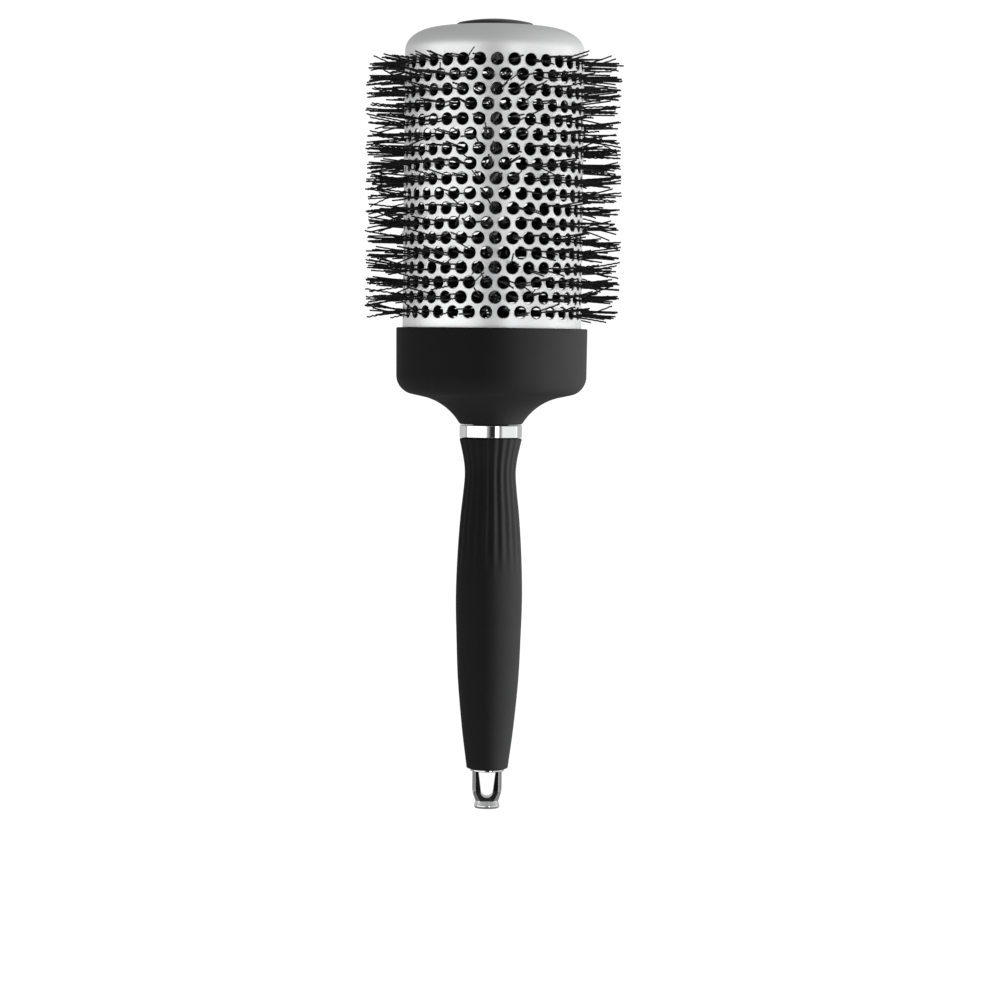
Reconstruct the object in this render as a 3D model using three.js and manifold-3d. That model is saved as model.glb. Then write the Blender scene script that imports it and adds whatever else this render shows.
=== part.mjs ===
// Round barrel brush for blow-drying: a perforated ceramic-coated barrel, crimped bristle rows held
// in a twisted-wire core, a soft-touch collar and grip, and a sectioning pick that slides out of the
// handle's lower end. Millimetres, +Z up along the brush. The foot of the pick's loop is at z = 0.

import * as THREE from 'three';
import Module from 'manifold-3d';

const wasm = await Module();
wasm.setup();
const { Manifold, Mesh: ManifoldMesh } = wasm;

// Driving dimensions
const GAP = 0.3; // between two pieces that touch
const RUNNING_CLEARANCE = 0.05; // radial, pick in its guide and friction ring

const BARREL_R = 32.5;
const BARREL_WALL = 0.8;
const BARREL_FOOT_Z = 158.8;
const SHOULDER_Z = 275.0; // where the straight wall turns into the rounded shoulder
const SHOULDER_RISE = 8.75;
const SHOULDER_CREST_R = 18; // the shoulder is flat inside this radius
const SHOULDER_FULLNESS = 2.2; // 2 is an ellipse, more is squarer
const SHOULDER_MOUTH_R = 12.6; // opening in the shoulder that the end cap closes

const ROWS = 18;
const FIRST_ROW_Z = 180.85; // lowest row of bristles
const ROW_PITCH = 5.25;
const TUFTS_PER_ROW = 16;
const HOLE_R = 2.25;
const ROW_HUB_R = 4.0;
const ROW_THICKNESS = 1.5;
const TUFT_NECK_WIDTH = 3.2; // a tuft is narrow where it leaves its hole, then splays to its tips
const TUFT_TIP_WIDTH = 6.6;
const BRISTLE_TIP_R = 46.8;

const WIRE_R = 1.0;
const WIRE_LEAD = 14; // height of one full twist
const WIRE_FOOT_Z = 128;
const WIRE_TOP_Z = 278;
const WIRE_SIDES = 6;
const WIRE_STEPS_PER_TURN = 6;
const CORE_HELIX_R = WIRE_R + GAP / 2;
const CORE_R = CORE_HELIX_R + WIRE_R; // cylinder that the twisted pair fills

const CAP_R = 14.2;
const CAP_DOME = { edgeR: 13.4, edgeZ: 285.48, radius: 60 };
const CAP_SKIRT_FOOT_Z = 279;
const CAP_CEILING_Z = 283;
const CAP_BOSS = { r: 4.8, footZ: 272.5 }; // grips the top of the wire core
const TOP_CRIMP_Z = [272.8, 279];

const COLLAR_R = 34.75;
const COLLAR_LIP_Z = 175.3;
const COLLAR_SKIN = 1.7;
const COLLAR_NECK_R = 11.3;
const COLLAR_NECK_Z = 140.4;
const FLARE = { r: 29.3, z: 130.05, radius: 20.7, from: 60, to: 15 }; // concave curve under the collar
const HEEL = { r: 27.6, z: 158.0, radius: 7.0 }; // convex curve at the collar's lower edge
const HEEL_START = 12; // degrees of slope where the heel begins

const RING_R = 11.35;
const RING_Z = [135.6, 140.1];

const GRIP_Z = [14.6, 135.3];
const FLUTES = 22;
const FLUTE_DEPTH = 0.35;
const FLUTE_FADE_Z = [84, 96]; // the flutes run out between these heights

const CORE_TUBE_R = 6.4;
const CORE_TUBE_BORE_R = 4.4;
const CORE_TUBE_Z = [17.0, 167];
const PICK_BORE_TOP_Z = 112;
const WIRE_SOCKET = { r: 3.5, z: 126 };
const TAIL_CRIMP_Z = [127, 150];

const PICK_R = 1.5;
const PICK_BOSS_R = 3.2;
const PICK_TOP_Z = 108;
const PICK_STOP_R = 3.9;
const PICK_STOP_Z = [103, 107];
const PICK_BOSS_TOP_Z = 20.3;
const PICK_SOCKET_Z = 15.5; // foot of the shaft's socket in the boss
const GUIDE_TOP_Z = 34;
const LOOP_R = 5.4;
const LOOP_HALF_DEPTH = 3.4; // the turned loop is cut flat in front and behind
const LOOP_FOOT = [[4.2, 0], [4.6, 0.6], [4.6, 1.3], [4.2, 2.7]]; // [r, z], up to the waist
const LOOP_SIDE = [[4.2, 2.7], [4.7, 4.1], [5.2, 5.6], [LOOP_R, 7.2]];
const LOOP_EYE = { topR: 3.1, footR: 2.2, footZ: 6.3 }; // footZ is the centre of its round foot
const LOOP_PLATE_R = 6.2;
const LOOP_PLATE_Z = [13.7, 14.3];

const AROUND = 32; // sides of the large turned pieces
const AROUND_SMALL = 16;

const MATERIALS = {
  ceramic: { color: 0xd4d5d6, roughness: 0.32, metalness: 0.75 },
  capGrey: { color: 0x4c4e51, roughness: 0.45, metalness: 0.3 },
  chrome: { color: 0xe6e8ea, roughness: 0.06, metalness: 1.0 },
  steel: { color: 0x9a9c9f, roughness: 0.35, metalness: 1.0 },
  softTouch: { color: 0x242425, roughness: 0.62, metalness: 0.0 },
  rigidBlack: { color: 0x17181a, roughness: 0.5, metalness: 0.0 },
  nylon: { color: 0x0e0e0f, roughness: 0.45, metalness: 0.0 },
  rubber: { color: 0x1b1b1b, roughness: 0.8, metalness: 0.0 },
};

const radians = (degrees) => (degrees * Math.PI) / 180;

// Points [r, z] along an arc, angles in degrees from the +r direction.
function arc(r, z, radius, from, to, steps) {
  const points = [];
  for (let i = 0; i <= steps; i++) {
    const a = radians(from + ((to - from) * i) / steps);
    points.push([r + radius * Math.cos(a), z + radius * Math.sin(a)]);
  }
  return points;
}

// Turned solid from an outline of [r, z] points, walked upward on its outer side.
function turned(outline, segments) {
  const first = outline[0];
  const last = outline[outline.length - 1];
  const onAxis = first[0] === 0 && last[0] === 0;
  const closed = onAxis ? outline : [...outline, first];
  const geometry = new THREE.LatheGeometry(
    closed.map(([r, z]) => new THREE.Vector2(r, z)),
    segments,
  );
  geometry.rotateX(Math.PI / 2);
  return geometry;
}

function tube(innerR, outerR, z0, z1, segments) {
  return turned([[innerR, z0], [outerR, z0], [outerR, z1], [innerR, z1]], segments);
}

function box(width, depth, z0, z1) {
  return new THREE.BoxGeometry(width, depth, z1 - z0).translate(0, 0, (z0 + z1) / 2);
}

function toManifold(geometry) {
  const position = geometry.getAttribute('position');
  const index = geometry.getIndex();
  const mesh = new ManifoldMesh({
    numProp: 3,
    vertProperties: Float32Array.from(position.array),
    triVerts: index
      ? Uint32Array.from(index.array)
      : Uint32Array.from({ length: position.count }, (_, i) => i),
  });
  mesh.merge();
  return new Manifold(mesh);
}

function toGeometry(solid) {
  const mesh = solid.getMesh();
  const geometry = new THREE.BufferGeometry();
  geometry.setAttribute('position', new THREE.BufferAttribute(mesh.vertProperties, 3));
  geometry.setIndex(new THREE.BufferAttribute(mesh.triVerts, 1));
  geometry.computeVertexNormals();
  return geometry;
}

// Barrel: a straight tube with a spun shoulder, drilled with a staggered pattern of holes.
function makeBarrel() {
  const shoulder = (inset, steps) => {
    const width = BARREL_R - SHOULDER_CREST_R - inset;
    const rise = SHOULDER_RISE - inset;
    const power = 2 / SHOULDER_FULLNESS;
    const points = [];
    for (let i = 0; i <= steps; i++) {
      const a = (i / steps) * (Math.PI / 2);
      const along = i < steps ? Math.cos(a) ** power : 0;
      points.push([SHOULDER_CREST_R + width * along, SHOULDER_Z + rise * Math.sin(a) ** power]);
    }
    return points;
  };
  const shell = turned([
    [BARREL_R - BARREL_WALL, BARREL_FOOT_Z],
    [BARREL_R, BARREL_FOOT_Z],
    ...shoulder(0, 8),
    [SHOULDER_MOUTH_R, SHOULDER_Z + SHOULDER_RISE],
    [SHOULDER_MOUTH_R, SHOULDER_Z + SHOULDER_RISE - BARREL_WALL],
    ...shoulder(BARREL_WALL, 6).reverse(),
  ], AROUND);
  // One prism drills two opposite holes. Its corners point up and down the barrel.
  const drills = [];
  for (let row = 0; row < ROWS; row++) {
    for (let i = 0; i < TUFTS_PER_ROW / 2; i++) {
      const drill = new THREE.CylinderGeometry(HOLE_R, HOLE_R, 2.2 * BARREL_R, 6);
      drill.rotateZ(tuftAngle(row, i));
      drills.push(toManifold(drill.translate(0, 0, rowHeight(row))));
    }
  }
  return toGeometry(toManifold(shell).subtract(Manifold.union(drills)));
}

function rowHeight(row) {
  return FIRST_ROW_Z + row * ROW_PITCH;
}

// Tufts stand at the middle of the barrel's facets, and every second row is turned by half a pitch.
function tuftAngle(row, i) {
  const pitch = (2 * Math.PI) / TUFTS_PER_ROW;
  return pitch * (i + 0.25 + (row % 2) * 0.5);
}

// One row of bristles: tufts that leave a small hub round the wire core and pass through the barrel.
function makeBristleRow(row) {
  const neckR = BARREL_R + GAP;
  const halfNeck = TUFT_NECK_WIDTH / 2;
  const halfTip = TUFT_TIP_WIDTH / 2;
  const halfPitch = Math.PI / TUFTS_PER_ROW;
  const outline = new THREE.Shape();
  for (let i = 0; i < TUFTS_PER_ROW; i++) {
    const angle = tuftAngle(row, i);
    const points = [
      [ROW_HUB_R * Math.cos(halfPitch), -ROW_HUB_R * Math.sin(halfPitch)],
      [neckR, -halfNeck],
      [BRISTLE_TIP_R, -halfTip],
      [BRISTLE_TIP_R, halfTip],
      [neckR, halfNeck],
    ];
    points.forEach(([along, across], n) => {
      const p = new THREE.Vector2(along, across).rotateAround(new THREE.Vector2(), angle);
      if (i + n) outline.lineTo(p.x, p.y);
      else outline.moveTo(p.x, p.y);
    });
  }
  const bore = new THREE.Path();
  bore.absarc(0, 0, CORE_R + GAP, 0, 2 * Math.PI, true);
  outline.holes.push(bore);
  const geometry = new THREE.ExtrudeGeometry(outline, {
    depth: ROW_THICKNESS,
    bevelEnabled: false,
    curveSegments: 6,
  });
  return geometry.translate(0, 0, rowHeight(row) - ROW_THICKNESS / 2);
}

// One strand of the twisted-wire core.
class Helix extends THREE.Curve {
  constructor(start) {
    super();
    this.start = start;
  }

  getPoint(t, target = new THREE.Vector3()) {
    const z = WIRE_FOOT_Z + t * (WIRE_TOP_Z - WIRE_FOOT_Z);
    const a = this.start + (2 * Math.PI * (z - WIRE_FOOT_Z)) / WIRE_LEAD;
    return target.set(CORE_HELIX_R * Math.cos(a), CORE_HELIX_R * Math.sin(a), z);
  }
}

function makeStrand(start) {
  const section = new THREE.Shape();
  for (let i = 0; i < WIRE_SIDES; i++) {
    const a = (2 * Math.PI * i) / WIRE_SIDES;
    const p = [WIRE_R * Math.cos(a), WIRE_R * Math.sin(a)];
    if (i) section.lineTo(...p);
    else section.moveTo(...p);
  }
  const turns = (WIRE_TOP_Z - WIRE_FOOT_Z) / WIRE_LEAD;
  return new THREE.ExtrudeGeometry(section, {
    steps: Math.round(turns * WIRE_STEPS_PER_TURN),
    extrudePath: new Helix(start),
  });
}

// Domed cap that plugs the barrel's mouth, with a boss that grips the top of the wire core.
function makeEndCap() {
  const { edgeR, edgeZ, radius } = CAP_DOME;
  const domeCentreZ = edgeZ - Math.sqrt(radius ** 2 - edgeR ** 2);
  const edge = (Math.acos(edgeR / radius) * 180) / Math.PI;
  const seatZ = SHOULDER_Z + SHOULDER_RISE + GAP;
  const skirtR = SHOULDER_MOUTH_R - GAP;
  const skirtWall = 1.2;
  const edgeThickness = 0.5;
  const socketTopZ = TOP_CRIMP_Z[1] + 1.3;
  return turned([
    [0, socketTopZ],
    [WIRE_SOCKET.r, socketTopZ],
    [WIRE_SOCKET.r, CAP_BOSS.footZ],
    [CAP_BOSS.r, CAP_BOSS.footZ],
    [CAP_BOSS.r, CAP_CEILING_Z],
    [skirtR - skirtWall, CAP_CEILING_Z],
    [skirtR - skirtWall, CAP_SKIRT_FOOT_Z],
    [skirtR, CAP_SKIRT_FOOT_Z],
    [skirtR, seatZ],
    [CAP_R, seatZ],
    [CAP_R, seatZ + edgeThickness],
    ...arc(0, domeCentreZ, radius, edge, 90, 4).slice(0, -1),
    [0, domeCentreZ + radius],
  ], AROUND);
}

// Outer curve of the collar, moved inward by the given thickness, from the neck up to the side wall.
function collarCurve(inset, flareSteps, heelSteps) {
  return [
    ...arc(FLARE.r, FLARE.z, FLARE.radius + inset, 90 + FLARE.from, 90 + FLARE.to, flareSteps),
    ...arc(HEEL.r, HEEL.z, HEEL.radius - inset, HEEL_START - 90, 0, heelSteps),
  ];
}

// Soft-touch skin over the barrel seat.
function makeCollar() {
  const lipR = BARREL_R + GAP;
  const lipRound = 0.5;
  const inner = collarCurve(COLLAR_SKIN, 4, 3).filter(([, z]) => z > COLLAR_NECK_Z);
  const neckInnerR = inner[0][0] - 0.2;
  return turned([
    [neckInnerR, COLLAR_NECK_Z],
    [COLLAR_NECK_R, COLLAR_NECK_Z],
    ...collarCurve(0, 6, 5).filter(([, z]) => z > COLLAR_NECK_Z + 0.2),
    [COLLAR_R, COLLAR_LIP_Z - lipRound],
    [COLLAR_R - lipRound, COLLAR_LIP_Z],
    [lipR, COLLAR_LIP_Z],
    ...inner.reverse(),
  ], AROUND);
}

// Rigid hub that carries the barrel's lower end and sits on the handle's core tube.
function makeBarrelSeat() {
  const inset = COLLAR_SKIN + GAP;
  const wall = 2.2;
  const boreR = CORE_TUBE_R + GAP;
  const spigotR = BARREL_R - BARREL_WALL - GAP;
  const spigotTopZ = 173.5;
  const spigotBreak = 0.8; // leads the barrel on
  const floorZ = 158;
  const fillet = 2;
  const hubR = boreR + wall;
  const hubTopZ = 166;
  const outer = collarCurve(inset, 4, 3);
  const footR = outer[0][0];
  return turned([
    [boreR, COLLAR_NECK_Z],
    [footR - 0.5, COLLAR_NECK_Z],
    ...outer,
    [spigotR, HEEL.z],
    [spigotR, spigotTopZ - spigotBreak],
    [spigotR - spigotBreak, spigotTopZ],
    [spigotR - wall, spigotTopZ],
    [spigotR - wall, floorZ + fillet],
    [spigotR - wall - fillet, floorZ],
    [hubR, floorZ],
    [hubR, hubTopZ],
    [boreR, hubTopZ],
  ], AROUND);
}

// Chrome trim ring between the grip and the collar.
function makeTrimRing() {
  const boreR = CORE_TUBE_R + GAP;
  const edge = 0.35;
  return turned([
    [boreR, RING_Z[0]],
    [RING_R - edge, RING_Z[0]],
    [RING_R, RING_Z[0] + edge],
    [RING_R, RING_Z[1] - edge],
    [RING_R - edge, RING_Z[1]],
    [boreR, RING_Z[1]],
  ], FLUTES * 2);
}

// Rigid tube through the grip: the pick slides in its lower bore, the wire core sits in its upper one.
function makeCoreTube() {
  const [z0, z1] = CORE_TUBE_Z;
  return turned([
    [0, PICK_BORE_TOP_Z],
    [CORE_TUBE_BORE_R, PICK_BORE_TOP_Z],
    [CORE_TUBE_BORE_R, z0],
    [CORE_TUBE_R, z0],
    [CORE_TUBE_R, z1],
    [WIRE_SOCKET.r, z1],
    [WIRE_SOCKET.r, WIRE_SOCKET.z],
    [0, WIRE_SOCKET.z],
  ], AROUND);
}

// Radius of the grip at a height: full at the palm, waisted under the ring.
const GRIP_CURVE = new THREE.SplineCurve([
  new THREE.Vector2(7.93, 17.8),
  new THREE.Vector2(9.48, 30),
  new THREE.Vector2(11.05, 47),
  new THREE.Vector2(11.7, 62),
  new THREE.Vector2(12.1, 77),
  new THREE.Vector2(11.7, 92),
  new THREE.Vector2(10.8, 106),
  new THREE.Vector2(9.75, 116),
  new THREE.Vector2(9.3, 122.5),
  new THREE.Vector2(9.85, 128),
  new THREE.Vector2(11.35, 135),
]);

// Soft grip with flutes that fade out above the palm swell.
function makeGrip() {
  const heelR = 6.9;
  const heelBreak = 0.6;
  const holeR = CORE_TUBE_BORE_R;
  const boreR = CORE_TUBE_R + GAP;
  const stations = 12;
  const outer = [[heelR, GRIP_Z[0]], [heelR + heelBreak, GRIP_Z[0] + heelBreak]];
  for (let i = 0; i <= stations; i++) {
    const p = GRIP_CURVE.getPoint(i / stations);
    outer.push([p.x, p.y]);
  }
  const geometry = turned([
    [holeR, GRIP_Z[0]],
    ...outer,
    [outer[outer.length - 1][0], GRIP_Z[1]],
    [boreR, GRIP_Z[1]],
    [boreR, CORE_TUBE_Z[0] - GAP],
    [holeR, CORE_TUBE_Z[0] - GAP],
  ], FLUTES * 2);
  const position = geometry.getAttribute('position');
  const p = new THREE.Vector3();
  for (let i = 0; i < position.count; i++) {
    p.fromBufferAttribute(position, i);
    const r = Math.hypot(p.x, p.y);
    if (r < boreR + 0.1) continue; // the bore stays round
    const fade = THREE.MathUtils.smoothstep(p.z, ...FLUTE_FADE_Z);
    const valley = (1 + Math.cos(FLUTES * Math.atan2(p.x, -p.y))) / 2;
    const scale = 1 - (FLUTE_DEPTH * fade * valley) / r;
    position.setXY(i, p.x * scale, p.y * scale);
  }
  return geometry;
}

// Bush in the lower end of the core tube: the pick's boss rests in it and its shaft runs through it.
function makePickGuide() {
  const outerR = CORE_TUBE_BORE_R - GAP;
  const footZ = GRIP_Z[0] + 0.2;
  const boreR = PICK_R + RUNNING_CLEARANCE;
  const bossRecessR = PICK_BOSS_R + GAP;
  const bossRecessZ = PICK_BOSS_TOP_Z + GAP;
  const ringRecess = { r: 3.1, z: 30.7 };
  return turned([
    [bossRecessR, footZ],
    [outerR, footZ],
    [outerR, GUIDE_TOP_Z],
    [ringRecess.r, GUIDE_TOP_Z],
    [ringRecess.r, ringRecess.z],
    [boreR, ringRecess.z],
    [boreR, bossRecessZ],
    [bossRecessR, bossRecessZ],
  ], AROUND_SMALL);
}

// Rubber ring that gives the pick its drag.
function makeFrictionRing() {
  const width = 1.2;
  const edge = width / 4;
  const [footZ, topZ] = [31.8, 33.0];
  const boreR = PICK_R + RUNNING_CLEARANCE;
  return turned([
    [boreR, footZ + edge],
    [boreR + edge, footZ],
    [boreR + width, footZ],
    [boreR + width, topZ],
    [boreR + edge, topZ],
    [boreR, topZ - edge],
  ], AROUND_SMALL);
}

// Finger loop of the pick: a flared foot, a stirrup with an eye, a plate and a boss for the shaft.
function makePickLoop() {
  const [waistR, waistZ] = LOOP_SIDE[0];
  const overlap = 0.2; // the sides run on into the foot and the plate
  const foot = turned([[0, 0], ...LOOP_FOOT, [0, waistZ]], AROUND_SMALL);
  const stirrup = turned([
    [0, waistZ - overlap],
    [waistR, waistZ - overlap],
    ...LOOP_SIDE,
    [LOOP_R, LOOP_PLATE_Z[0] + overlap],
    [0, LOOP_PLATE_Z[0] + overlap],
  ], AROUND_SMALL);
  const plate = turned([
    [0, LOOP_PLATE_Z[0]],
    [LOOP_PLATE_R, LOOP_PLATE_Z[0]],
    [LOOP_PLATE_R, LOOP_PLATE_Z[1]],
    [PICK_BOSS_R, LOOP_PLATE_Z[1]],
    [PICK_BOSS_R, PICK_BOSS_TOP_Z],
    [PICK_R + GAP, PICK_BOSS_TOP_Z],
    [PICK_R + GAP, PICK_SOCKET_Z],
    [0, PICK_SOCKET_Z],
  ], AROUND_SMALL);
  const { topR, footR, footZ } = LOOP_EYE;
  const eye = new THREE.Shape();
  eye.moveTo(topR, LOOP_PLATE_Z[0]);
  eye.lineTo(-topR, LOOP_PLATE_Z[0]);
  eye.lineTo(-footR, footZ);
  eye.absarc(0, footZ, footR, Math.PI, 2 * Math.PI, false);
  const reach = 4 * LOOP_R;
  const eyeCutter = new THREE.ExtrudeGeometry(eye, {
    depth: reach,
    bevelEnabled: false,
    curveSegments: 8,
  });
  eyeCutter.rotateX(Math.PI / 2).translate(0, reach / 2, 0);
  const slab = toManifold(box(reach, 2 * LOOP_HALF_DEPTH, 0, LOOP_PLATE_Z[1]));
  return toGeometry(
    toManifold(stirrup)
      .intersect(slab)
      .add(toManifold(foot))
      .subtract(toManifold(eyeCutter))
      .add(toManifold(plate)),
  );
}

function makePickShaft() {
  const tipBreak = 0.4;
  const footZ = PICK_SOCKET_Z + GAP;
  return turned([
    [0, footZ],
    [PICK_R, footZ],
    [PICK_R, PICK_TOP_Z - tipBreak],
    [PICK_R - tipBreak, PICK_TOP_Z],
    [0, PICK_TOP_Z],
  ], AROUND_SMALL);
}

const brush = new THREE.Group();

function add(name, geometry, material) {
  const mesh = new THREE.Mesh(geometry, new THREE.MeshStandardMaterial(MATERIALS[material]));
  mesh.name = name;
  brush.add(mesh);
}

const crimpR = [CORE_R + GAP, WIRE_SOCKET.r - GAP];

add('barrel', makeBarrel(), 'ceramic');
add('end_cap', makeEndCap(), 'capGrey');
add('top_crimp', tube(...crimpR, ...TOP_CRIMP_Z, AROUND_SMALL), 'steel');
add('core_wire_a', makeStrand(0), 'steel');
add('core_wire_b', makeStrand(Math.PI), 'steel');
for (let row = 0; row < ROWS; row++) {
  add(`bristle_row_${String(row + 1).padStart(2, '0')}`, makeBristleRow(row), 'nylon');
}
add('barrel_seat', makeBarrelSeat(), 'rigidBlack');
add('collar', makeCollar(), 'softTouch');
add('trim_ring', makeTrimRing(), 'chrome');
add('core_tube', makeCoreTube(), 'rigidBlack');
add('tail_crimp', tube(...crimpR, ...TAIL_CRIMP_Z, AROUND_SMALL), 'steel');
add('grip', makeGrip(), 'softTouch');
add('pick_guide', makePickGuide(), 'rigidBlack');
add('friction_ring', makeFrictionRing(), 'rubber');
add('pick_loop', makePickLoop(), 'chrome');
add('pick_shaft', makePickShaft(), 'steel');
add('pick_stop', tube(PICK_R + GAP, PICK_STOP_R, ...PICK_STOP_Z, AROUND_SMALL), 'steel');

export default brush;
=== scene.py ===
import math
import random

import bmesh
import bpy
from mathutils import Matrix, Vector


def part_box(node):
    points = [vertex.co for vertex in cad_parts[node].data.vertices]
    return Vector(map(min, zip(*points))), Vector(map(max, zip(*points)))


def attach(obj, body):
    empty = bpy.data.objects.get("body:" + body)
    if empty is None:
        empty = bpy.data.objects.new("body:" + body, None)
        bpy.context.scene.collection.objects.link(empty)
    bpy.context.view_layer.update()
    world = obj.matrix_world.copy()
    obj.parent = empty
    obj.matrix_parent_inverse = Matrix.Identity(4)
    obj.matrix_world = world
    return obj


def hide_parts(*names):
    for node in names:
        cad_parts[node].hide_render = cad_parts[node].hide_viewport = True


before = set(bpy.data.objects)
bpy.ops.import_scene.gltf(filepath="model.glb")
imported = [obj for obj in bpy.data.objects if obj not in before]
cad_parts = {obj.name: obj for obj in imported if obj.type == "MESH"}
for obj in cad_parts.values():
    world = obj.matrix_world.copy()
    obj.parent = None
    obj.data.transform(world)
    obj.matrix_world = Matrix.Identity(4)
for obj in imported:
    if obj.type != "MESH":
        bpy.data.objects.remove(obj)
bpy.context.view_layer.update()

# A round barrel brush: a perforated barrel full of crimped bristles, a soft-touch collar and grip,
# a chrome ring, and a sectioning pick that slides out of the handle.
# Shapes are made in millimetres.

MM = 0.001
TURN = 2 * math.pi


def heights(node):
    """The lowest and highest Z of a CAD node, in millimetres."""
    low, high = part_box(node)
    return low.z / MM, high.z / MM


def radius(node):
    """Half of a CAD node's width, in millimetres."""
    low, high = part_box(node)
    return (high.x - low.x) / 2 / MM


# Barrel
BARREL_R = radius("barrel")
BARREL_FOOT_Z, BARREL_TOP_Z = heights("barrel")
BARREL_WALL = 0.8
SHOULDER_RISE = 8.75
SHOULDER_CREST_R = 18.0
SHOULDER_FULLNESS = 2.2
SHOULDER_MOUTH_R = 12.6
HOLES = 33
HOLE_R = 2.25
HOLE_EDGE = [(0.22, 0), (0.08, -0.06), (0, -0.22)]  # how far out from the wall, and how deep
CELL_SIDE_STEPS = 6
SEAM = 2e-3
TOP_ROW_TURN = math.radians(1.8)

# Bristles
ROW_NODES = sorted(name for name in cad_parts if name.startswith("bristle_row_"))
ROW_Z = [sum(heights(name)) / 2 for name in ROW_NODES]
ROW_PITCH = (ROW_Z[-1] - ROW_Z[0]) / (len(ROW_Z) - 1)
TIP_R = 46.8
TIP_SCATTER = 1.0
CORE_R = 2.6
CORE_GRIP_HALF = (0.3, 1.9)
TUFT_PATTERNS = 48
TUFT_R = 1.5
TUFT_LEAN = (0.06, 0.07)
FILAMENTS_IN_A_TUFT = (1, 1, 2, 2, 3, 3, 4)
FILAMENT_R = 0.29
FEWEST_CRIMPS = 6
CRIMP_STEP = 1.1
CRIMP = 0.12
CRIMP_STRENGTHS = (0.2, 0.4, 0.7, 1.3)
SPREAD = 0.025
STRAY_CHANCE = 0.06
STRAY_SPREAD = 0.2
STRAY_CUT = 3.0
INSIDE_HOLE = 2.0
OUT_OF_HOLE = 0.4
SPLAY_GROWTH = 0.25

# Twisted core
WIRE_R = 1.0
WIRE_SIDES = 12
WIRE_HELIX_R = 1.15
WIRE_LEAD = 14.0
WIRE_STEPS_PER_TURN = 18

# Handle
CAP_R = radius("end_cap")
CAP_TOP_Z = heights("end_cap")[1]
COLLAR_R = radius("collar")
COLLAR_NECK_Z, COLLAR_LIP_Z = heights("collar")
COLLAR_NECK_R = 11.3
COLLAR_SKIN = 1.7
FLARE_CENTRE = (29.3, 130.05)
FLARE_R = 20.7
HEEL_CENTRE = (27.6, 158.0)
HEEL_R = 7.0
RING_R = radius("trim_ring")
RING_Z = heights("trim_ring")
GRIP_Z = heights("grip")
FLUTES = 22
FLUTE_DEPTH = 0.42
FLUTE_FADE_Z = (84.0, 98.0)
CORE_TUBE_R = radius("core_tube")
CORE_TUBE_FOOT_Z = heights("core_tube")[0]
CORE_TUBE_GAP = 0.3
PICK_HOLE_R = 4.4

# Pick
LOOP_TOP_Z = heights("pick_loop")[1]
LOOP_R = 5.4
LOOP_HALF_DEPTH = 3.4
LEG_SHADE_Z = (5.0, 7.2)
WAIST_R = 4.2
WAIST_Z = 2.7
PLATE_R = radius("pick_loop")
PLATE_Z = (13.7, 14.3)
BOSS_R = 3.2
SOCKET_Z = 15.5
SOCKET_GAP = 0.3
SHAFT_R = radius("pick_shaft")
SHAFT_TIP_R = 0.9
EYE_TOP_R = 3.1
EYE_FOOT_R = 2.2
EYE_FOOT_Z = 6.3


# ---------------------------------------------------------------- finishes


class Value:
    """The output of a shader node. Arithmetic on it adds Math nodes to the same finish."""

    def __init__(self, finish, socket):
        self.finish = finish
        self.socket = socket

    def maths(self, operation, *terms):
        return self.finish.node("ShaderNodeMath", {"operation": operation}, dict(enumerate(terms)))

    def __add__(self, other):
        return self.maths("ADD", self, other)

    def __radd__(self, other):
        return self.maths("ADD", other, self)

    def __sub__(self, other):
        return self.maths("SUBTRACT", self, other)

    def __rsub__(self, other):
        return self.maths("SUBTRACT", other, self)

    def __mul__(self, other):
        return self.maths("MULTIPLY", self, other)

    def __rmul__(self, other):
        return self.maths("MULTIPLY", other, self)

    def __truediv__(self, other):
        return self.maths("DIVIDE", self, other)

    def __pow__(self, other):
        return self.maths("POWER", self, other)

    def floor(self):
        return self.maths("FLOOR", self)

    def fraction(self):
        return self.maths("FRACT", self)

    def cosine(self):
        return self.maths("COSINE", self)

    def between(self, low, high):
        """A smooth rise from 0 at the low value to 1 at the high one."""
        settings = {"interpolation_type": "SMOOTHSTEP"}
        return self.finish.node("ShaderNodeMapRange", settings, {0: self, 1: low, 2: high})


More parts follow.
